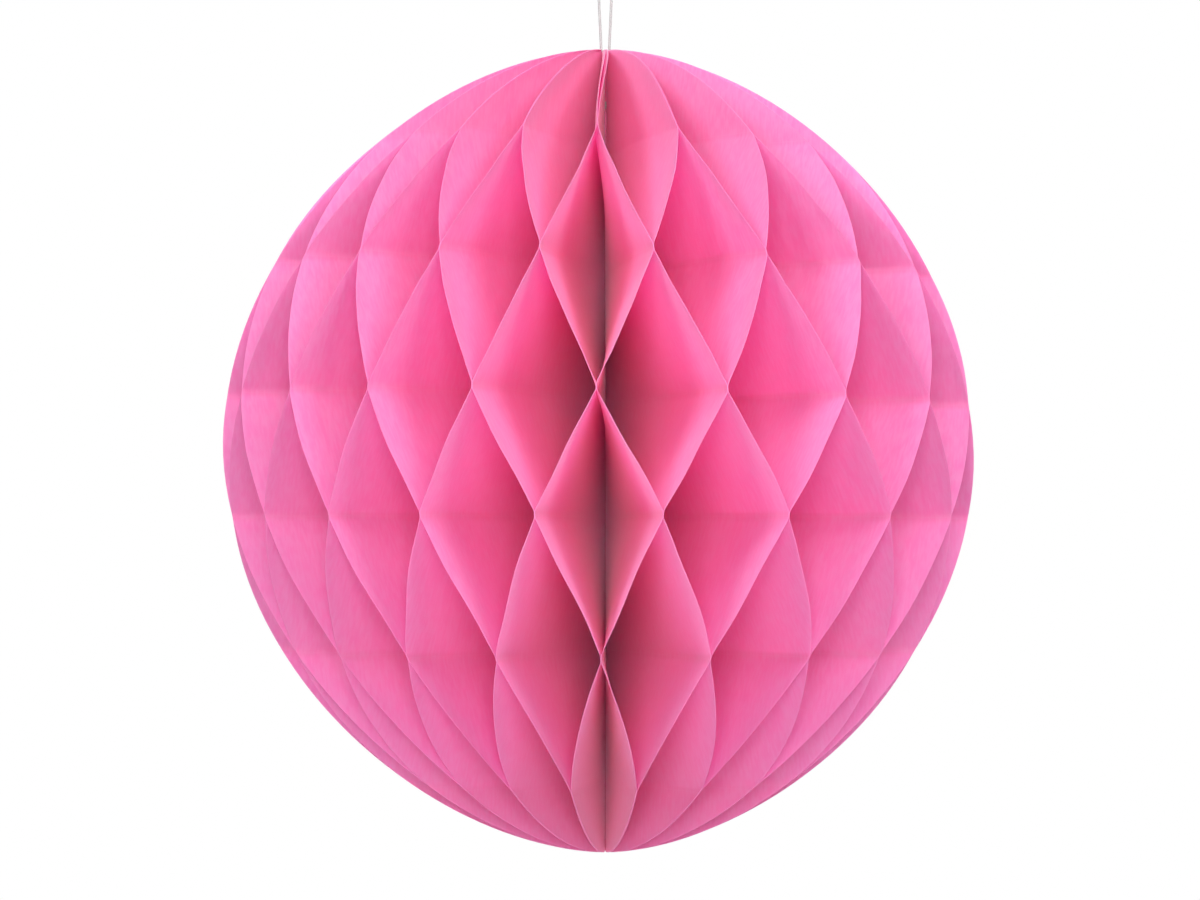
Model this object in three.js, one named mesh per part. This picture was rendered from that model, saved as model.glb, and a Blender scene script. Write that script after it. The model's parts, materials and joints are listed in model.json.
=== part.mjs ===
// A paper honeycomb ball: a fan of D-shaped tissue leaves round an upright spine, closed at the back
// by two card boards and hung from a cord loop.
// Millimetres, +Z up. The origin is the inside of the loop's top, where the ball hangs on a hook.
// Azimuth is counted about +Z from the front, -Y, towards +X, so the seam is at 180 degrees, +Y.

import * as THREE from "three";

// Ball
const BALL_HEIGHT = 200;
const BALL_RADIUS = 93.3;
const OUTLINE_POWER_OUT = 1.75;
const OUTLINE_POWER_UP = 1.95;
const POLE_ANGLE = 86;
const OUTLINE_STEP = 10;

// Leaves
const LEAF_COUNT = 40;
const LEAF_THICKNESS = 0.25;
const LEAF_GAP = 0.1;
const BORE_RADIUS = 3.4;
const GLUE_HEIGHTS = [-82.3, -49.7, -17.1, 11.2, 43.4, 74.4];
const GLUE_HALF_HEIGHT = 0.9;
const LEVEL_SPACING = 2;
const TOP_OPENING = 0.15;
const BOTTOM_OPENING = 0.1;
const FAN_LEAN = 5.7;

// Boards and the pads between them
const BOARD_THICKNESS = 0.5;
const BOARD_INNER_RADIUS = 9;
const SEAM_HALF_GAP = 0.3;
const PAD_THICKNESS = 0.4;
const PAD_LENGTH = 30;
const PAD_WIDTH = 12;
const PAD_RADIUS = 70;
const PAD_HEIGHTS = { seam_pad_top: 40, seam_pad_middle: 0, seam_pad_bottom: -40 };

// Spine thread and cord
const LOOP_HEIGHT = 36;
const THREAD_RADIUS = 0.4;
const ANCHOR_RADIUS = 1.3;
const ANCHOR_HEIGHT = 86.5;
const CORD_DIAMETER = 0.65;
const CORD_SIDES = 8;
const CORD_STEPS = 62;
const KNOT_RADIUS = 1.1;
const KNOT_LENGTH = 2.6;
const KNOT_HEIGHT = 22;
const KNOT_SHOULDER = 0.85;
const TOUCH_GAP = 0.3;
const ROUND_SEGMENTS = 12;

const rad = THREE.MathUtils.degToRad;
const ballTop = -LOOP_HEIGHT;
const ballCentre = ballTop - BALL_HEIGHT / 2;

const tissue = () => new THREE.MeshStandardMaterial({ color: 0xff6fb0, roughness: 0.9 });
const card = () => new THREE.MeshStandardMaterial({ color: 0xe9658f, roughness: 0.85 });
const foam = () => new THREE.MeshStandardMaterial({ color: 0xf4f1ea, roughness: 0.7 });
const thread = () => new THREE.MeshStandardMaterial({ color: 0xdf6699, roughness: 0.95 });
const string = () => new THREE.MeshStandardMaterial({ color: 0xf2f2f0, roughness: 0.95 });

const ball = new THREE.Group();
ball.name = "honeycomb_ball";

function add(name, geometry, material) {
  const mesh = new THREE.Mesh(geometry, material);
  mesh.name = name;
  ball.add(mesh);
  return mesh;
}

// Radius of the ball's outline at height z over its middle.
function outline(z) {
  const up = Math.pow(Math.abs(z) / (BALL_HEIGHT / 2), OUTLINE_POWER_UP);
  return BALL_RADIUS * Math.pow(Math.max(1 - up, 0), 1 / OUTLINE_POWER_OUT);
}

// Heights that follow the outline in equal steps of angle, closest together near the poles.
function outlineHeights() {
  const lastStep = 90 - OUTLINE_STEP;
  const angles = [-POLE_ANGLE];
  for (let a = -lastStep; a <= lastStep; a += OUTLINE_STEP) angles.push(a);
  angles.push(POLE_ANGLE);
  return angles.map((a) => (BALL_HEIGHT / 2) * Math.sin(rad(a)));
}

// The outline's heights, with both edges of each glue line in place of the heights close to it.
function leafHeights() {
  const glued = GLUE_HEIGHTS.flatMap((z) => [z - GLUE_HALF_HEIGHT, z + GLUE_HALF_HEIGHT]);
  const clear = (z) => glued.every((g) => Math.abs(g - z) > LEVEL_SPACING);
  return [...outlineHeights().filter(clear), ...glued].sort((a, b) => a - b);
}

// Azimuth of glued line number k, counted round from the seam.
// The fan opens a little wider on the front's right side than on its left.
function glueAzimuth(k) {
  const even = -180 + (360 * k) / LEAF_COUNT;
  return even + FAN_LEAN * Math.sin(rad(even)) ** 2;
}

// Where a leaf stands at height z between its two glued lines: 0 on its first line, 1 on its second.
// Odd glue lines hold at every second height from the lowest, even ones at the heights between.
// Past its last glue lines a leaf is free, and opens part of the way back.
function share(leaf, z) {
  const onSecond = (level) => (level + leaf) % 2;
  const last = GLUE_HEIGHTS.length - 1;
  const openedFrom = (held, opening) => held + (1 - 2 * held) * opening;
  const stops = [[-BALL_HEIGHT / 2, openedFrom(onSecond(0), BOTTOM_OPENING)]];
  GLUE_HEIGHTS.forEach((glue, level) => {
    stops.push([glue - GLUE_HALF_HEIGHT, onSecond(level)]);
    stops.push([glue + GLUE_HALF_HEIGHT, onSecond(level)]);
  });
  stops.push([BALL_HEIGHT / 2, openedFrom(onSecond(last), TOP_OPENING)]);
  const above = stops.findIndex(([height]) => height >= z);
  const [low, lowShare] = stops[above - 1];
  const [high, highShare] = stops[above];
  return lowShare + ((highShare - lowShare) * (z - low)) / (high - low);
}

// A point at a radius along an azimuth, moved sideways towards greater azimuth.
function place(azimuth, radius, sideways, z) {
  const a = rad(azimuth);
  return new THREE.Vector3(
    radius * Math.sin(a) + sideways * Math.cos(a),
    -radius * Math.cos(a) + sideways * Math.sin(a),
    ballCentre + z,
  );
}

// The four corners of an upright sheet at one height.
function sheetSection(azimuth, inner, outer, sideways, thickness, z) {
  const low = sideways - thickness / 2;
  const high = sideways + thickness / 2;
  return [
    place(azimuth, inner, low, z),
    place(azimuth, outer, low, z),
    place(azimuth, outer, high, z),
    place(azimuth, inner, high, z),
  ];
}

// A closed solid through sections with the same number of corners, stacked upwards.
// Opposite sides are split along the same diagonal, so a twisted sheet keeps its thickness.
function loft(sections) {
  const corners = sections[0].length;
  const index = [];
  for (let level = 0; level < sections.length - 1; level++) {
    for (let c = 0; c < corners; c++) {
      const next = (c + 1) % corners;
      const a = level * corners + c;
      const b = level * corners + next;
      if (c < corners / 2) index.push(a, b, b + corners, a, b + corners, a + corners);
      else index.push(a, b, a + corners, b, b + corners, a + corners);
    }
  }
  const top = (sections.length - 1) * corners;
  for (let c = 1; c < corners - 1; c++) {
    index.push(0, c + 1, c);
    index.push(top, top + c, top + c + 1);
  }
  const geometry = new THREE.BufferGeometry().setFromPoints(sections.flat());
  geometry.setIndex(index);
  geometry.computeVertexNormals();
  return geometry;
}

// Sideways distance from a glued line's plane to the middle of the leaf on it.
function standOff(glueLine) {
  const atSeam = glueLine === 0 || glueLine === LEAF_COUNT;
  return LEAF_THICKNESS / 2 + (atSeam ? SEAM_HALF_GAP + BOARD_THICKNESS + LEAF_GAP : LEAF_GAP / 2);
}

// A leaf zigzags between the glued line before it and the one after it.
// The first and last leaves start as far from the spine as the boards they are glued to.
function leafGeometry(leaf) {
  const before = glueAzimuth(leaf - 1);
  const after = glueAzimuth(leaf);
  const inner = leaf === 1 || leaf === LEAF_COUNT ? BOARD_INNER_RADIUS : BORE_RADIUS;
  const heights = leafHeights().filter((z) => outline(z) > inner);
  const sections = heights.map((z) => {
    const t = share(leaf, z);
    const azimuth = before + (after - before) * t;
    const sideways = standOff(leaf - 1) * (1 - t) - standOff(leaf) * t;
    return sheetSection(azimuth, inner, outline(z), sideways, LEAF_THICKNESS, z);
  });
  return loft(sections);
}

// A board stands flat beside the seam, on the side given by 1 or -1.
function boardGeometry(side) {
  const sideways = side * (SEAM_HALF_GAP + BOARD_THICKNESS / 2);
  const heights = outlineHeights().filter((z) => outline(z) > BOARD_INNER_RADIUS);
  return loft(
    heights.map((z) =>
      sheetSection(180, BOARD_INNER_RADIUS, outline(z), sideways, BOARD_THICKNESS, z),
    ),
  );
}

function padGeometry(height) {
  const pad = new THREE.BoxGeometry(PAD_THICKNESS, PAD_WIDTH, PAD_LENGTH);
  return pad.translate(0, PAD_RADIUS, ballCentre + height);
}

// A round body about an upright axis, from pairs of radius and height.
function turned(profile, x = 0) {
  const points = profile.map(([r, z]) => new THREE.Vector2(r, z));
  const geometry = new THREE.LatheGeometry(points, ROUND_SEGMENTS);
  return geometry.rotateX(Math.PI / 2).translate(x, 0, 0);
}

// The thread on which the leaves' straight edges are sewn, from the bottom pole to the anchor knot.
function threadGeometry() {
  const bottom = ballCentre - BALL_HEIGHT / 2 + TOUCH_GAP;
  const top = ballCentre + ANCHOR_HEIGHT - ANCHOR_RADIUS - TOUCH_GAP;
  return turned([[0, bottom], [THREAD_RADIUS, bottom], [THREAD_RADIUS, top], [0, top]]);
}

// The knot that ties both ends of the cord to the spine thread.
function anchorGeometry() {
  const knot = new THREE.SphereGeometry(ANCHOR_RADIUS, ROUND_SEGMENTS, ROUND_SEGMENTS / 2);
  return knot.rotateX(Math.PI / 2).translate(0, 0, ballCentre + ANCHOR_HEIGHT);
}

// One side of the cord's loop as x and z from the ball's top; the other side mirrors it.
const CORD_SIDE = [
  [0.6, -11.9], [0.75, -9], [0.9, -5], [1.0, 0], [1.25, 6], [1.55, 12.5], [1.85, 18.5],
  [2.1, KNOT_HEIGHT], [2.35, 26], [2.55, 30], [2.55, 32.4], [2.1, 34.4], [1.2, 35.9],
];

function cordPath() {
  const apex = LOOP_HEIGHT + CORD_DIAMETER / 2;
  const left = CORD_SIDE.map(([x, z]) => new THREE.Vector3(-x, 0, ballTop + z));
  const right = CORD_SIDE.map(([x, z]) => new THREE.Vector3(x, 0, ballTop + z));
  const points = [...left, new THREE.Vector3(0, 0, ballTop + apex), ...right.reverse()];
  return new THREE.CatmullRomCurve3(points, false, "centripetal");
}

function cordGeometry() {
  const section = new THREE.Shape();
  for (let i = 0; i < CORD_SIDES; i++) {
    const a = (2 * Math.PI * i) / CORD_SIDES;
    const x = (CORD_DIAMETER / 2) * Math.cos(a);
    const y = (CORD_DIAMETER / 2) * Math.sin(a);
    if (i === 0) section.moveTo(x, y);
    else section.lineTo(x, y);
  }
  section.closePath();
  return new THREE.ExtrudeGeometry(section, { steps: CORD_STEPS, extrudePath: cordPath() });
}

// The loop's knot, a short barrel round the cord on the loop's right side.
function knotGeometry() {
  const middle = ballTop + KNOT_HEIGHT;
  const bore = CORD_DIAMETER / 2 + TOUCH_GAP;
  const half = KNOT_LENGTH / 2;
  const x = CORD_SIDE.find(([, z]) => z === KNOT_HEIGHT)[0];
  const shoulder = KNOT_RADIUS * KNOT_SHOULDER;
  const profile = [
    [bore, middle - half],
    [shoulder, middle - half],
    [KNOT_RADIUS, middle],
    [shoulder, middle + half],
    [bore, middle + half],
    [bore, middle - half],
  ];
  return turned(profile, x);
}

add("end_board_left", boardGeometry(1), card());
add("end_board_right", boardGeometry(-1), card());
for (const [name, height] of Object.entries(PAD_HEIGHTS)) add(name, padGeometry(height), foam());
for (let leaf = 1; leaf <= LEAF_COUNT; leaf++) {
  add("leaf_" + String(leaf).padStart(2, "0"), leafGeometry(leaf), tissue());
}
add("spine_thread", threadGeometry(), thread());
add("anchor_knot", anchorGeometry(), string());
add("hanging_cord", cordGeometry(), string());
add("loop_knot", knotGeometry(), string());

export default ball;
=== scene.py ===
"""Looks of the paper honeycomb ball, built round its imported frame.

Metres, +Z up. The spine stands on the Z axis and the seam is at +Y. Azimuth is counted about +Z
from the front, -Y, towards +X. Heights named "up" are counted from the ball's middle.
"""

import json
import math
import random

import bmesh
import bpy
import numpy as np
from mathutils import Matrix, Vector


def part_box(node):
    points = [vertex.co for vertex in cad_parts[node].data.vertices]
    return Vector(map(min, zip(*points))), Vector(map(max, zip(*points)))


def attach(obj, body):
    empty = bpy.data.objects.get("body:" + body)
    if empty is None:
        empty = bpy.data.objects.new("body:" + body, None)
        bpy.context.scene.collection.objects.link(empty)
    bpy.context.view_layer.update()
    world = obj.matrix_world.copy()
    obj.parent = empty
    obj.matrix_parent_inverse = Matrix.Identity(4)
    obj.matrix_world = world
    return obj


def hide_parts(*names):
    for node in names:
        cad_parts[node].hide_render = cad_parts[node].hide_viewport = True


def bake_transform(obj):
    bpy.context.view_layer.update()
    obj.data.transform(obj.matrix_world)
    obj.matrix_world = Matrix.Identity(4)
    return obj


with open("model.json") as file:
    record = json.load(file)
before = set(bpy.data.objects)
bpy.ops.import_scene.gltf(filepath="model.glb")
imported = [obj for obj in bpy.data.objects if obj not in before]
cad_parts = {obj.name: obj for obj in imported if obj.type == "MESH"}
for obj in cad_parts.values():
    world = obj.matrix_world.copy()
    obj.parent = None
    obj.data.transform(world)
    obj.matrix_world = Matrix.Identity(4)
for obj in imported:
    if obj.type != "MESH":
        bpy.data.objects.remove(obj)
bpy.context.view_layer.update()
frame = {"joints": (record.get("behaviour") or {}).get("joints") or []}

MM = 0.001

# The ball's outline, as in the design
BALL_HEIGHT = 200 * MM
BALL_RADIUS = 93.3 * MM
OUTLINE_POWER_OUT = 1.75
OUTLINE_POWER_UP = 1.95
POLE_ANGLE = 87
LEVEL_STEP = 2
LEFT_REACH = 0.0176

# Leaves
GLUE_UP = [z * MM for z in (-82.3, -49.7, -17.1, 11.2, 43.4, 74.4)]
GLUE_HALF_HEIGHT = 0.8 * MM
FOLD_ROUNDING = 0.7 * MM
SHEET_THICKNESS = 0.1 * MM
SHEET_GAP = 0.03 * MM
BOARD_GAP = 0.1 * MM
SPINE_RADIUS = 1.2 * MM
CORD_BORE_RADIUS = 1.7 * MM
CORD_BORE_UP = (77 * MM, 82 * MM)
RADIAL_COLUMNS = 12
EDGE_WIDTH = 0.5 * MM
TOP_OPENING = 0.03
FRONT_TOP_OPENING = 0.12
BOTTOM_OPENING = 0.02
COCKLE = 0.18 * MM
COCKLE_WAVES = 6
COCKLE_TALL = (12 * MM, 40 * MM)
COCKLE_WIDE = (25 * MM, 90 * MM)
COCKLE_DRIFT = (0.06, 0.14)
# Paleness along each glued line: partly the paler glue stripe, partly a painted highlight where the
# paper creases
GLUE_AND_CREASE_HIGHLIGHT = 0.5
LEAF_SHARP_ANGLE = 50
RANDOM_SEED = 7

# How the loose front of the ball strays from the even design
TWIST_RATE = -8.5  # degrees for each metre of height
POLE_LEAN = 3.2
POLE_LEAN_UP = (76 * MM, 97 * MM)
GLUE_LIFT = 0.4 * MM
GLUE_TILT = 1.5 * MM
TILT_UP = (-20 * MM, 15 * MM)
BULGE = 1.6 * MM
BULGE_UP = 55 * MM
BULGE_SPREAD = 45 * MM

# Boards and pads at the seam
SEAM_HALF_GAP = 0.3 * MM
BOARD_THICKNESS = 0.5 * MM
BOARD_INNER_RADIUS = 9 * MM
BOARD_MEETING = 0.95  # share of the seam's gap that the boards close at their ends
BOARD_MEETING_UP = (60 * MM, 80 * MM)
PAD_CORNER = 2 * MM
PAD_ROUNDING = 0.12 * MM

# Cord: one side of the loop as distance from the middle and height over the ball's top
CORD_DIAMETER = 0.65 * MM
CORD_SIDE = [
    (0.6, -11.9), (0.75, -9), (0.9, -5), (1.0, 0), (1.25, 6), (1.55, 12.5), (1.85, 18.5),
    (2.1, 22), (2.35, 26), (2.55, 30), (2.55, 32.4), (2.1, 34.4), (1.2, 35.9),
]
LOOP_HEIGHT = 36 * MM
STRAND_PLIES = 3
STRAND_SIDES = 18
STRAND_GROOVE = 0.16
STRAND_STEP = 0.16 * MM
CORD_LAY = 1.9 * MM
THREAD_DIAMETER = 0.78 * MM
THREAD_LAY = 3 * MM
KNOT_TURNS = 3
ANCHOR_TURNS = 2.5
ANCHOR_TAIL = 0.3 * MM
KNOT_TAIL = 1.6 * MM

# Camera and light
LIGHT_BOUNCES = 24
CAMERA_DISTANCE = 828 * MM
CAMERA_DROP = 24.9 * MM
CAMERA_AZIMUTH = 1.14
CAMERA_AIM_LEFT = 1.3 * MM
CAMERA_LENS = 99.5
LIGHT_DISTANCE = 1.5
LIGHT_SIZE = 0.6
FLOOR_SIZE = 6.0
FLOOR_HEIGHT = -0.62
BACKDROP_LIFT = 1 * MM

joints = frame["joints"]
leaf_count = len(joints)
middle = joints[0]["pos_m"][2]
ball_top = middle + BALL_HEIGHT / 2

# Each joint closes the gap between two glued lines, so the lines' azimuths add up from the seam.
line_azimuth = [-180.0]
for joint in joints:
    line_azimuth.append(line_azimuth[-1] - joint["range_deg"][0])


# The two leaves on either side of the front line
front_leaves = (leaf_count // 2, leaf_count // 2 + 1)


def fan_body(line):
    """The CAD body that carries a glued line."""
    return "fan_%02d" % line if line else "spine"


def point(azimuth, radius, sideways, up):
    """Points at a radius along an azimuth in degrees, moved sideways towards greater azimuth."""
    a = np.radians(azimuth)
    x = radius * np.sin(a) + sideways * np.cos(a)
    y = -radius * np.cos(a) + sideways * np.sin(a)
    return np.stack(np.broadcast_arrays(x, y, middle + up), axis=-1)


def outline(up):
    """Radius of the ball at a height."""
    share = np.clip(1 - np.abs(up / (BALL_HEIGHT / 2)) ** OUTLINE_POWER_UP, 0, 1)
    return BALL_RADIUS * share ** (1 / OUTLINE_POWER_OUT)


# ---------------------------------------------------------------- camera, light and floor


def make_camera():
    a = math.radians(CAMERA_AZIMUTH)
    camera = bpy.data.objects.new("camera", bpy.data.cameras.new("camera"))
    bpy.context.scene.collection.objects.link(camera)
    camera.location = (
        CAMERA_DISTANCE * math.sin(a),
        -CAMERA_DISTANCE * math.cos(a),
        middle - CAMERA_DROP,
    )
    aim = Vector((-CAMERA_AIM_LEFT, 0, middle))
    camera.rotation_euler = (aim - camera.location).to_track_quat("-Z", "Y").to_euler()
    camera.data.sensor_width = 36
    camera.data.lens = CAMERA_LENS
    camera.data.clip_start = 0.01
    camera.data.clip_end = 100
    bpy.context.scene.camera = camera


def softbox(name, azimuth, elevation, power):
    """A square soft light that faces the ball's middle."""
    data = bpy.data.lights.new(name, "AREA")
    data.shape = "SQUARE"
    data.size = LIGHT_SIZE
    data.energy = power
    lamp = bpy.data.objects.new(name, data)
    bpy.context.scene.collection.objects.link(lamp)
    e = math.radians(elevation)
    away = Vector(point(azimuth, math.cos(e), 0, math.sin(e) - middle)) * LIGHT_DISTANCE
    lamp.location = away + Vector((0, 0, middle))
    lamp.rotation_euler = (-away).to_track_quat("-Z", "Y").to_euler()


def make_stage():
    """Soft light, a floor that sends light back up, and an even white sheet over it to be looked at."""
    world = bpy.data.worlds.new("studio")
    world.use_nodes = True
    background = world.node_tree.nodes["Background"]
    background.inputs["Color"].default_value = (1, 1, 1, 1)
    background.inputs["Strength"].default_value = 1.0
    bpy.context.scene.world = world
    for rays in ("diffuse", "glossy", "transmission"):
        setattr(world.cycles_visibility, rays, False)
    bpy.context.scene.view_settings.view_transform = "Standard"
    bpy.context.scene.cycles.max_bounces = LIGHT_BOUNCES
    bpy.context.scene.cycles.diffuse_bounces = LIGHT_BOUNCES
    bpy.context.scene.cycles.transmission_bounces = LIGHT_BOUNCES

    softbox("left_softbox", -42, 35, 11.2)
    softbox("right_softbox", 42, 35, 10.5)
    softbox("top_softbox", 20, 60, 6.2)
    softbox("front_softbox", 0, 8, 11.3)
    softbox("back_softbox", 180, 30, 22)

    floor = floor_sheet("floor", FLOOR_HEIGHT)
    floor.data.materials.append(plain_material("floor_paper", (0.7, 0.7, 0.7), 0.9))
    floor.visible_camera = False
    backdrop = floor_sheet("backdrop", FLOOR_HEIGHT + BACKDROP_LIFT)
    backdrop.data.materials.append(glow_material("white_glow"))
    for rays in ("visible_diffuse", "visible_glossy", "visible_transmission", "visible_shadow"):
        setattr(backdrop, rays, False)


def floor_sheet(name, z):
    """A square sheet under the ball, part of the stage."""
    half = FLOOR_SIZE / 2
    corners = [(-half, -half, z), (half, -half, z), (half, half, z), (-half, half, z)]
    sheet = new_mesh(name, corners, [(0, 1, 2, 3)])
    return sheet


# ---------------------------------------------------------------- meshes


def new_mesh(name, vertices, faces, smooth=False):
    mesh = bpy.data.meshes.new(name)
    mesh.from_pydata([tuple(map(float, v)) for v in vertices], [], faces)
    mesh.validate()
    if smooth:
        mesh.shade_smooth()
    piece = bpy.data.objects.new(name, mesh)
    bpy.context.scene.collection.objects.link(piece)
    return piece


def stored(piece, name, kind, values):
    """A value for each vertex, for the materials to read."""
    attribute = piece.data.attributes.new(name, kind, "POINT")
    field = "vector" if kind == "FLOAT_VECTOR" else "value"
    attribute.data.foreach_set(field, np.asarray(values, np.float32).ravel())


# ---------------------------------------------------------------- leaves


def front_share(azimuth):
    """1 at the front, fading evenly to 0 at the seam, so that the folded leaves stay in their order."""
    return 1 - np.abs(azimuth) / 180


def glue_heights(leaf):
    """A leaf's glue heights: the upper ones stand a little higher on the ball's left than its right."""
    heights = []
    for level, height in enumerate(GLUE_UP):
        azimuth = line_azimuth[leaf - 1 + (level + leaf) % 2]
        strayed_by = GLUE_LIFT - GLUE_TILT * math.sin(math.radians(azimuth))
        heights.append(height + np.interp(height, TILT_UP, (0, 1)) * strayed_by)
    return heights


def leaf_heights(glued, inner):
    """Heights of a leaf's rows: even steps round the outline, and close rows over each glued line."""
    angles = np.arange(-POLE_ANGLE, POLE_ANGLE + LEVEL_STEP / 2, LEVEL_STEP)
    even = BALL_HEIGHT / 2 * np.sin(np.radians(angles))
    offsets = [GLUE_HALF_HEIGHT + FOLD_ROUNDING * s for s in (-0.9, -0.3, 0.3, 1.0, 2.2)]
    close = [g + side * o for g in glued for o in offsets for side in (-1, 1)]
    reach = GLUE_HALF_HEIGHT + 3.2 * FOLD_ROUNDING
    clear = [z for z in even if all(abs(z - g) > reach for g in glued)]
    rows = np.array(sorted(clear + close + list(glued)))
    return rows[outline(rows) > inner + EDGE_WIDTH * 2]


def share(leaf, glued, up):
    """Where a leaf stands between its two glued lines, 0 on its first and 1 on its second."""
    knots = []
    for level, glue in enumerate(glued):
        held = (level + leaf) % 2
        knots += [(glue - GLUE_HALF_HEIGHT, held), (glue + GLUE_HALF_HEIGHT, held)]
    low, high = knots[0][1], knots[-1][1]
    half = BALL_HEIGHT / 2
    top_opening = FRONT_TOP_OPENING if leaf in front_leaves else TOP_OPENING
    knots.insert(0, (-half, low + (1 - 2 * low) * BOTTOM_OPENING))
    knots.append((half, high + (1 - 2 * high) * top_opening))
    heights = np.array([k[0] for k in knots])
    shares = np.array([k[1] for k in knots])
    spread = FOLD_ROUNDING / 2
    taps = np.linspace(-spread, spread, 5)
    return np.mean([np.interp(up + tap, heights, shares) for tap in taps], axis=0)


def strayed(azimuth, up):
    """An azimuth moved by the ball's slight twist, which turns back towards the top."""
    turn = TWIST_RATE * up + POLE_LEAN * np.interp(up, POLE_LEAN_UP, (0, 1)) ** 2
    return azimuth + turn * front_share(azimuth)


def bulge(azimuth, radius, outer, up):
    """Sideways lean of the leaves between the spine and their outer edges, most in the upper half."""
    window = np.exp(-(((up - BULGE_UP) / BULGE_SPREAD) ** 2))
    return -BULGE * np.sin(math.pi * radius / outer) * window * front_share(azimuth)


def stand_off(line):
    """Sideways distance from a glued line's plane to the middle of the leaf on it."""
    if line in (0, leaf_count):
        return SEAM_HALF_GAP + BOARD_THICKNESS + BOARD_GAP + SHEET_THICKNESS / 2
    return (SHEET_THICKNESS + SHEET_GAP) / 2


def cockle_waves():
    """Random soft waves for all the leaves, whose phases drift a little from leaf to leaf."""
    rng = random.Random(RANDOM_SEED)
    waves = []
    for _ in range(COCKLE_WAVES):
        tall = rng.uniform(*COCKLE_TALL)
        wide = rng.choice((-1, 1)) * rng.uniform(*COCKLE_WIDE)
        phase = rng.uniform(0, 2 * math.pi)
        drift = rng.choice((-1, 1)) * rng.uniform(*COCKLE_DRIFT)
        waves.append((tall, wide, phase, drift))
    return waves


def cockle(waves, leaf, azimuth, up, radius, held):
    """The waves in one leaf, none where it is glued or sewn and fewer beside the boards."""
    total = sum(
        np.sin(2 * math.pi * (up / tall + radius / wide) + phase + drift * leaf)
        for tall, wide, phase, drift in waves
    )
    unglued = np.minimum(1, 2.5 * (1 - np.abs(2 * held - 1)))
    clear_of_boards = np.minimum(1, 4 * front_share(azimuth))
    return COCKLE / len(waves) * 2 * total * unglued * clear_of_boards * radius / BALL_RADIUS


def make_leaf(leaf, waves, material):
    first, second = line_azimuth[leaf - 1], line_azimuth[leaf]
    glued = glue_heights(leaf)
    at_seam = leaf in (1, leaf_count)
    inner_low = BOARD_INNER_RADIUS if at_seam else SPINE_RADIUS
    inner_high = max(inner_low, CORD_BORE_RADIUS)
    up = leaf_heights(glued, inner_high)[:, None]
    inner = np.interp(up, CORD_BORE_UP, (inner_low, inner_high))
    held = share(leaf, glued, up)
    azimuth = strayed(first + (second - first) * held, up)
    outer = outline(up) * (1 - LEFT_REACH * np.sin(np.radians(azimuth)))
    across = np.linspace(0, 1, RADIAL_COLUMNS)[None, :]
    radius = inner + (outer - EDGE_WIDTH - inner) * across
    radius = np.concatenate([radius, outer], axis=1)
    sideways = stand_off(leaf - 1) * (1 - held) - stand_off(leaf) * held
    sideways = sideways + cockle(waves, leaf, azimuth, up, radius, held)
    sideways = sideways + bulge(azimuth, radius, outer, up)
    rows, columns = radius.shape
    sides = [point(azimuth, radius, sideways + s * SHEET_THICKNESS / 2, up) for s in (-1, 1)]
    vertices = np.concatenate([s.reshape(-1, 3) for s in sides])
    piece = new_mesh("tissue_leaf_%02d" % leaf, vertices, shell_faces(rows, columns), smooth=True)
    piece.data.set_sharp_from_angle(angle=math.radians(LEAF_SHARP_ANGLE))
    flat = np.stack(np.broadcast_arrays(radius, up, np.full_like(radius, leaf * 0.173)), axis=-1)
    # Mask of the outer rim column: mostly a painted highlight along the cut edge, partly paler cut
    # fibres
    cut_edge_and_highlight = np.zeros_like(radius)
    cut_edge_and_highlight[:, -1] = 1
    # Paler line at each glue height: partly the glue stripe, partly a painted crease highlight
    glue_and_crease_highlight = np.zeros_like(radius) + GLUE_AND_CREASE_HIGHLIGHT * np.isin(up, glued)
    stored(piece, "sheet_place", "FLOAT_VECTOR", np.concatenate([flat, flat]))
    stored(piece, "sheet_cut_edge_and_highlight", "FLOAT", np.concatenate([cut_edge_and_highlight, cut_edge_and_highlight]))
    stored(piece, "sheet_glue_and_crease_highlight", "FLOAT", np.concatenate([glue_and_crease_highlight, glue_and_crease_highlight]))
    piece.data.materials.append(material)

    start, end = (Vector(point(a, outline(0), 0, 0)) for a in (first, second))
    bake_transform(piece)
    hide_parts("leaf_%02d" % leaf)
    return piece


def shell_faces(rows, columns):
    """Faces of a thin closed shell: two grids with the same layout, joined round their rims."""
    faces = []
    count = rows * columns

    def at(side, row, column):
        return side * count + row * columns + column

    for r in range(rows - 1):
        for c in range(columns - 1):
            corners = [(r, c), (r, c + 1), (r + 1, c + 1), (r + 1, c)]
            faces.append([at(0, *p) for p in corners])
            faces.append([at(1, *p) for p in reversed(corners)])
    rim = [(0, c) for c in range(columns)]
    rim += [(r, columns - 1) for r in range(1, rows)]
    rim += [(rows - 1, c) for c in range(columns - 2, -1, -1)]
    rim += [(r, 0) for r in range(rows - 2, 0, -1)]
    for here, there in zip(rim, rim[1:] + rim[:1]):
        faces.append([at(0, *there), at(0, *here), at(1, *here), at(1, *there)])
    return faces


# ---------------------------------------------------------------- cord, thread and knots


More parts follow.
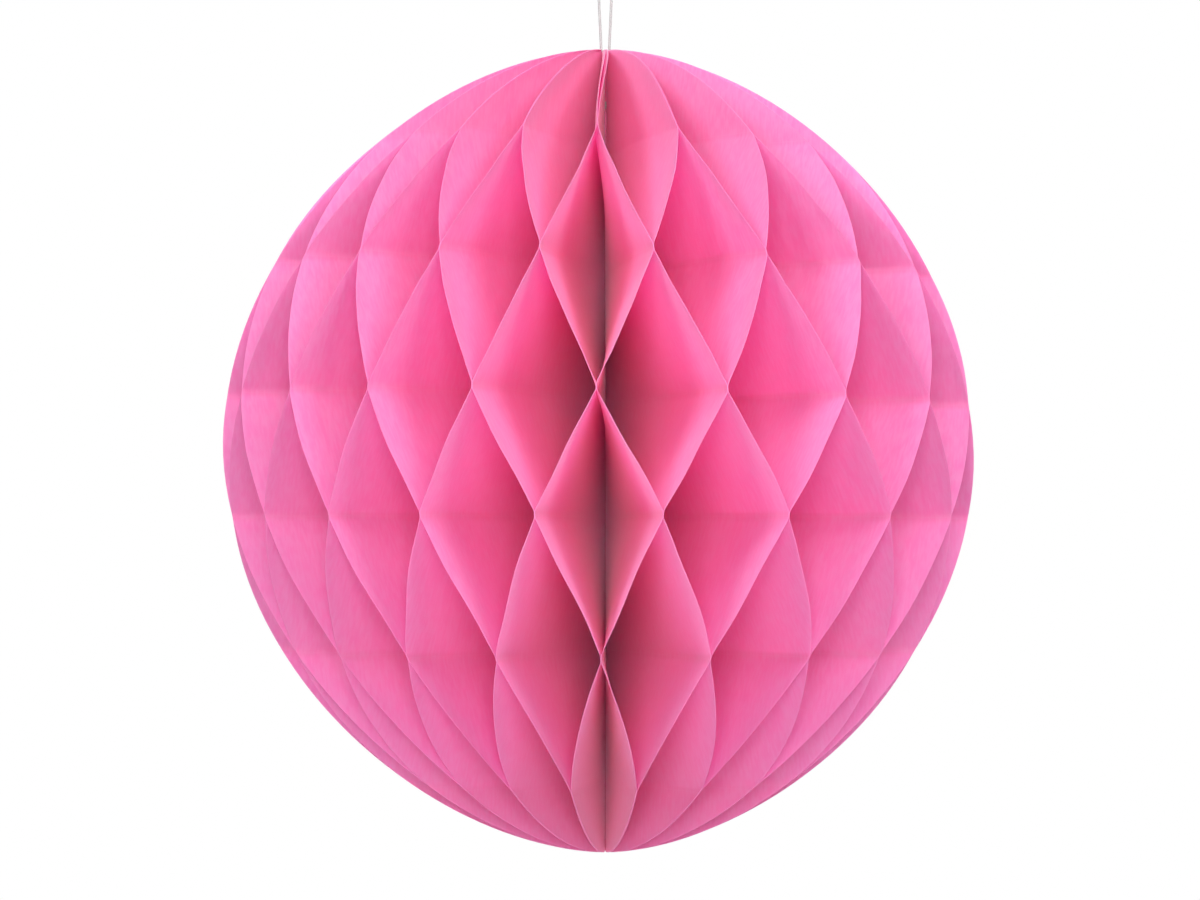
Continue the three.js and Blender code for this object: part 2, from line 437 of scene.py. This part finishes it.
def smooth_path(points, splits):
    """A centripetal Catmull-Rom curve through the points, the same curve as in the design."""
    points = np.array(points, float)
    ends = np.stack([2 * points[0] - points[1], 2 * points[-1] - points[-2]])
    points = np.concatenate([ends[:1], points, ends[1:]])
    found = []
    for p0, p1, p2, p3 in zip(points, points[1:], points[2:], points[3:]):
        d0, d1, d2 = (math.sqrt(np.linalg.norm(b - a)) for a, b in ((p0, p1), (p1, p2), (p2, p3)))
        leave = ((p1 - p0) / d0 - (p2 - p0) / (d0 + d1) + (p2 - p1) / d1) * d1
        arrive = ((p2 - p1) / d1 - (p3 - p1) / (d1 + d2) + (p3 - p2) / d2) * d1
        for t in np.arange(splits) / splits:
            a, b = 2 * t**3 - 3 * t**2 + 1, t**3 - 2 * t**2 + t
            found.append(a * p1 + b * leave + (1 - a) * p2 + (t**3 - t**2) * arrive)
    return np.array(found + [points[-2]])


def even_steps(path, step):
    """The same path with its points a step apart."""
    along = np.concatenate([[0], np.cumsum(np.linalg.norm(np.diff(path, axis=0), axis=1))])
    wanted = np.linspace(0, along[-1], max(3, round(along[-1] / step) + 1))
    return np.stack([np.interp(wanted, along, path[:, i]) for i in range(3)], axis=1)


def strand(name, path, diameter, lay, step=STRAND_STEP):
    """A twisted strand along a path: its plies make a lobed section that turns once each lay."""
    path = even_steps(np.array(path, float), step)
    forward = np.gradient(path, axis=0)
    forward /= np.linalg.norm(forward, axis=1)[:, None]
    side = np.cross(forward[0], (0.31, 0.95, 0.07))
    vertices = []
    for row, (place, ahead) in enumerate(zip(path, forward)):
        side = side - ahead * (side @ ahead)
        side /= np.linalg.norm(side)
        over = np.cross(ahead, side)
        for turn in np.arange(STRAND_SIDES) * 2 * math.pi / STRAND_SIDES:
            lobe = abs(math.sin(STRAND_PLIES / 2 * (turn - 2 * math.pi * row * step / lay)))
            reach = diameter / 2 * (1 - STRAND_GROOVE * (1 - lobe) ** 2)
            vertices.append(place + reach * (math.cos(turn) * side + math.sin(turn) * over))
    faces = [tuple(range(STRAND_SIDES))[::-1]]
    for row in range(len(path) - 1):
        for i in range(STRAND_SIDES):
            a, b = row * STRAND_SIDES + i, row * STRAND_SIDES + (i + 1) % STRAND_SIDES
            faces.append((a, b, b + STRAND_SIDES, a + STRAND_SIDES))
    faces.append(tuple(range(len(vertices) - STRAND_SIDES, len(vertices))))
    return new_mesh(name, vertices, faces, smooth=True), path


def coil(x, bottom, radius, pitch, turns, tail):
    """A winding round an upright line, with a short free tail above and below."""
    angles = np.arange(0, turns * 2 * math.pi + 0.01, math.pi / 8)
    wound = [
        (x + radius * math.cos(a), radius * math.sin(a), bottom + pitch * a / (2 * math.pi))
        for a in angles
    ]
    first, last = np.array(wound[0]), np.array(wound[-1])
    start = first + np.array((0.25, -0.8, -0.5)) * tail
    end = last + np.array((0.35, 0.75, 0.55)) * tail
    return smooth_path([start, *wound, end], 3)


def make_cord(material):
    left = [(-x * MM, 0, ball_top + z * MM) for x, z in CORD_SIDE]
    right = [(x * MM, 0, ball_top + z * MM) for x, z in CORD_SIDE]
    apex = (0, 0, ball_top + LOOP_HEIGHT + CORD_DIAMETER / 2)
    cord, path = strand(
        "loop_cord", smooth_path([*left, apex, *right[::-1]], 12), CORD_DIAMETER, CORD_LAY
    )
    low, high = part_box("loop_knot")
    knot_height = CORD_DIAMETER * KNOT_TURNS
    knot_path = coil(
        (low.x + high.x) / 2,
        (low.z + high.z - knot_height) / 2,
        CORD_DIAMETER * 0.97,
        CORD_DIAMETER,
        KNOT_TURNS,
        KNOT_TAIL,
    )
    knot, _ = strand("cord_knot", knot_path, CORD_DIAMETER * 0.94, CORD_LAY)
    for piece, cad_node in ((cord, "hanging_cord"), (knot, "loop_knot")):
        piece.data.materials.append(material)
        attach(piece, "spine")
        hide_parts(cad_node)


def make_spine(thread_material, cord_material):
    """The sewing thread up the spine, and the knot over it that ties on the cord."""
    low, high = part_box("spine_thread")
    line = [(0, 0, low.z), (0, 0, high.z)]
    thread, _ = strand("sewn_thread", line, THREAD_DIAMETER, THREAD_LAY, 2 * STRAND_STEP)
    thread.data.materials.append(thread_material)
    low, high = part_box("anchor_knot")
    radius = (high.x - low.x) / 2 - CORD_DIAMETER / 2
    bottom = (low.z + high.z - ANCHOR_TURNS * CORD_DIAMETER) / 2
    path = coil(0, bottom, radius, CORD_DIAMETER, ANCHOR_TURNS, ANCHOR_TAIL)
    knot, _ = strand("tied_anchor", path, CORD_DIAMETER, CORD_LAY)
    knot.data.materials.append(cord_material)
    for piece, cad_node, slot in ((thread, "spine_thread", "thread"), (knot, "anchor_knot", "cord")):
        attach(piece, "spine")
        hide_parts(cad_node)


# ---------------------------------------------------------------- boards and pads


def make_board(side, name, cad_node, body, material):
    """A D-shaped board beside the seam on the side given by 1 or -1; its ends meet the other board."""
    up = leaf_heights(GLUE_UP, BOARD_INNER_RADIUS)[:, None]
    across = np.linspace(0, 1, RADIAL_COLUMNS)[None, :]
    radius = BOARD_INNER_RADIUS + (outline(up) - BOARD_INNER_RADIUS) * across
    meeting = BOARD_MEETING * np.interp(np.abs(up), BOARD_MEETING_UP, (0, 1))
    middle_plane = side * (SEAM_HALF_GAP * (1 - meeting) + BOARD_THICKNESS / 2)
    faces = [middle_plane + s * BOARD_THICKNESS / 2 for s in (-1, 1)]
    vertices = np.concatenate([point(180.0, radius, f, up).reshape(-1, 3) for f in faces])
    piece = new_mesh(name, vertices, shell_faces(*radius.shape), smooth=True)
    piece.data.set_sharp_from_angle(angle=math.radians(40))
    piece.data.materials.append(material)
    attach(piece, body)
    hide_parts(cad_node)


def make_pad(cad_node, material):
    """A stick-on pad between the boards, with soft edges."""
    low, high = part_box(cad_node)
    mesh = bmesh.new()
    bmesh.ops.create_cube(mesh, size=1)
    bmesh.ops.scale(mesh, vec=high - low, verts=mesh.verts)
    bmesh.ops.translate(mesh, vec=(low + high) / 2, verts=mesh.verts)
    upright = [e for e in mesh.edges if abs(e.verts[0].co.x - e.verts[1].co.x) > 0.2 * MM]
    bmesh.ops.bevel(mesh, geom=upright, offset=PAD_CORNER, segments=6, affect="EDGES")
    bmesh.ops.bevel(mesh, geom=mesh.edges, offset=PAD_ROUNDING, segments=3, affect="EDGES")
    piece = new_mesh(cad_node + "_foam", [], [])
    mesh.to_mesh(piece.data)
    mesh.free()
    piece.data.shade_smooth()
    piece.data.materials.append(material)
    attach(piece, "spine")
    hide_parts(cad_node)


# ---------------------------------------------------------------- materials


def shader(name):
    """A new material with its nodes, its links and its main shader."""
    material = bpy.data.materials.new(name)
    material.use_nodes = True
    tree = material.node_tree
    return material, tree, tree.nodes["Principled BSDF"]


def plain_material(name, colour, roughness):
    material, _, main = shader(name)
    main.inputs["Base Color"].default_value = (*colour, 1)
    main.inputs["Roughness"].default_value = roughness
    return material


def glow_material(name):
    """Even white that takes no light."""
    material, _, main = shader(name)
    main.inputs["Base Color"].default_value = (0, 0, 0, 1)
    main.inputs["Specular IOR Level"].default_value = 0
    main.inputs["Emission Color"].default_value = (1, 1, 1, 1)
    main.inputs["Emission Strength"].default_value = 1.0
    return material


def node(tree, kind, **settings):
    made = tree.nodes.new(kind)
    for key, value in settings.items():
        setattr(made, key, value)
    return made


def noise(tree, place, scale, detail, stretch=(1, 1, 1)):
    """Noise over a place, finer along the axes that are stretched more."""
    mapping = node(tree, "ShaderNodeMapping")
    mapping.inputs["Scale"].default_value = stretch
    tree.links.new(place, mapping.inputs["Vector"])
    made = node(tree, "ShaderNodeTexNoise")
    made.inputs["Scale"].default_value = scale
    made.inputs["Detail"].default_value = detail
    tree.links.new(mapping.outputs["Vector"], made.inputs["Vector"])
    return made.outputs["Fac"]


def ramp(tree, value, stops):
    made = node(tree, "ShaderNodeValToRGB")
    first, last = made.color_ramp.elements[0], made.color_ramp.elements[1]
    first.position, last.position = stops[0][0], stops[-1][0]
    first.color, last.color = (*stops[0][1], 1), (*stops[-1][1], 1)
    for position, colour in stops[1:-1]:
        made.color_ramp.elements.new(position).color = (*colour, 1)
    tree.links.new(value, made.inputs["Fac"])
    return made.outputs["Color"]


def mixed(tree, amount, a, b, blend="MIX"):
    made = node(tree, "ShaderNodeMix", data_type="RGBA", blend_type=blend)
    for socket, value in ((made.inputs[0], amount), (made.inputs[6], a), (made.inputs[7], b)):
        if isinstance(value, bpy.types.NodeSocket):
            tree.links.new(value, socket)
        elif isinstance(value, tuple):
            socket.default_value = (*value, 1)
        else:
            socket.default_value = value
    return made.outputs[2]


def tissue_material():
    """Thin dyed tissue: matt, fibrous, lit a little from behind. Its rim is mostly a painted highlight
    along the cut edge and partly paler cut fibres. Each glued line is partly a paler glue stripe and
    partly a painted crease highlight.
    """
    material, tree, main = shader("pink_tissue")
    place = node(tree, "ShaderNodeAttribute", attribute_name="sheet_place").outputs["Vector"]
    cut_edge_and_highlight = node(tree, "ShaderNodeAttribute", attribute_name="sheet_cut_edge_and_highlight").outputs["Fac"]
    glue_and_crease_highlight = node(tree, "ShaderNodeAttribute", attribute_name="sheet_glue_and_crease_highlight").outputs["Fac"]
    cloud = noise(tree, place, 120, 3)
    fibre = noise(tree, place, 1500, 5, (1.0, 0.22, 1.0))
    tint = ramp(tree, cloud, [(0.35, (0.97, 0.36, 0.72)), (0.65, (0.98, 0.40, 0.75))])
    streaks = ramp(tree, fibre, [(0.40, (0, 0, 0)), (0.62, (0.8, 0.8, 0.8))])
    fibrous = mixed(tree, streaks, tint, (1.0, 0.52, 0.84))
    # Paler glued lines: partly the glue stripe, partly a painted crease highlight
    with_glue_and_crease_highlight = mixed(tree, glue_and_crease_highlight, fibrous, (1.0, 0.55, 0.85))
    # Paler rim: mostly a painted highlight along the cut edge, partly paler cut fibres
    colour = mixed(tree, cut_edge_and_highlight, with_glue_and_crease_highlight, (1.0, 0.47, 0.80))
    tree.links.new(colour, main.inputs["Base Color"])
    main.inputs["Roughness"].default_value = 0.9
    main.inputs["Specular IOR Level"].default_value = 0.25
    main.inputs["Sheen Weight"].default_value = 0.5
    main.inputs["Sheen Roughness"].default_value = 0.45
    bump = node(tree, "ShaderNodeBump")
    bump.inputs["Strength"].default_value = 0.35
    bump.inputs["Distance"].default_value = 0.05 * MM
    tree.links.new(fibre, bump.inputs["Height"])
    tree.links.new(bump.outputs["Normal"], main.inputs["Normal"])
    through = node(tree, "ShaderNodeBsdfTranslucent")
    through.inputs["Color"].default_value = (0.98, 0.41, 0.76, 1)
    both = node(tree, "ShaderNodeMixShader")
    both.inputs["Fac"].default_value = 0.5
    tree.links.new(main.outputs["BSDF"], both.inputs[1])
    tree.links.new(through.outputs["BSDF"], both.inputs[2])
    tree.links.new(both.outputs["Shader"], tree.nodes["Material Output"].inputs["Surface"])
    return material


def card_material():
    """Pink card: matt, faintly mottled, with short pressed fibres."""
    material, tree, main = shader("pink_card")
    place = node(tree, "ShaderNodeTexCoord").outputs["Object"]
    mottle = noise(tree, place, 300, 4)
    fibre = noise(tree, place, 2200, 3, (1, 0.5, 1))
    colour = ramp(tree, mottle, [(0.3, (0.80, 0.18, 0.40)), (0.7, (0.90, 0.25, 0.48))])
    tree.links.new(colour, main.inputs["Base Color"])
    main.inputs["Roughness"].default_value = 0.85
    bump = node(tree, "ShaderNodeBump")
    bump.inputs["Strength"].default_value = 0.3
    bump.inputs["Distance"].default_value = 0.05 * MM
    tree.links.new(fibre, bump.inputs["Height"])
    tree.links.new(bump.outputs["Normal"], main.inputs["Normal"])
    return material


def foam_material():
    """White foam tape: closed cells, a little satin."""
    material, tree, main = shader("foam_tape")
    place = node(tree, "ShaderNodeTexCoord").outputs["Object"]
    cells = noise(tree, place, 4000, 2)
    colour = ramp(tree, cells, [(0.3, (0.80, 0.79, 0.74)), (0.7, (0.92, 0.91, 0.87))])
    tree.links.new(colour, main.inputs["Base Color"])
    main.inputs["Roughness"].default_value = 0.6
    bump = node(tree, "ShaderNodeBump")
    bump.inputs["Strength"].default_value = 0.25
    bump.inputs["Distance"].default_value = 0.04 * MM
    tree.links.new(cells, bump.inputs["Height"])
    tree.links.new(bump.outputs["Normal"], main.inputs["Normal"])
    return material


def cotton_material(name, dark, light):
    """Twisted cotton: matt, streaked along its fibres, a little fuzzy."""
    material, tree, main = shader(name)
    place = node(tree, "ShaderNodeTexCoord").outputs["Object"]
    fibre = noise(tree, place, 9000, 3, (1, 1, 0.35))
    colour = ramp(tree, fibre, [(0.3, dark), (0.7, light)])
    tree.links.new(colour, main.inputs["Base Color"])
    main.inputs["Roughness"].default_value = 0.95
    main.inputs["Specular IOR Level"].default_value = 0.2
    main.inputs["Sheen Weight"].default_value = 0.3
    bump = node(tree, "ShaderNodeBump")
    bump.inputs["Strength"].default_value = 0.5
    bump.inputs["Distance"].default_value = 0.03 * MM
    tree.links.new(fibre, bump.inputs["Height"])
    tree.links.new(bump.outputs["Normal"], main.inputs["Normal"])
    return material


make_camera()
# The white cord is given a grey colour: painted shade, for how the white cotton looks under-lit against
# the white backdrop
cotton = cotton_material("white_cotton", (0.42, 0.42, 0.42), (0.62, 0.62, 0.61))
make_cord(cotton)
make_stage()
make_spine(cotton_material("pink_thread", (0.70, 0.12, 0.30), (0.85, 0.20, 0.42)), cotton)

card = card_material()
make_board(1, "board_left", "end_board_left", "spine", card)
make_board(-1, "board_right", "end_board_right", fan_body(leaf_count), card)
foam = foam_material()
for node_name in ("seam_pad_top", "seam_pad_middle", "seam_pad_bottom"):
    make_pad(node_name, foam)

tissue = tissue_material()
waves = cockle_waves()
for leaf in range(1, leaf_count + 1):
    make_leaf(leaf, waves, tissue)
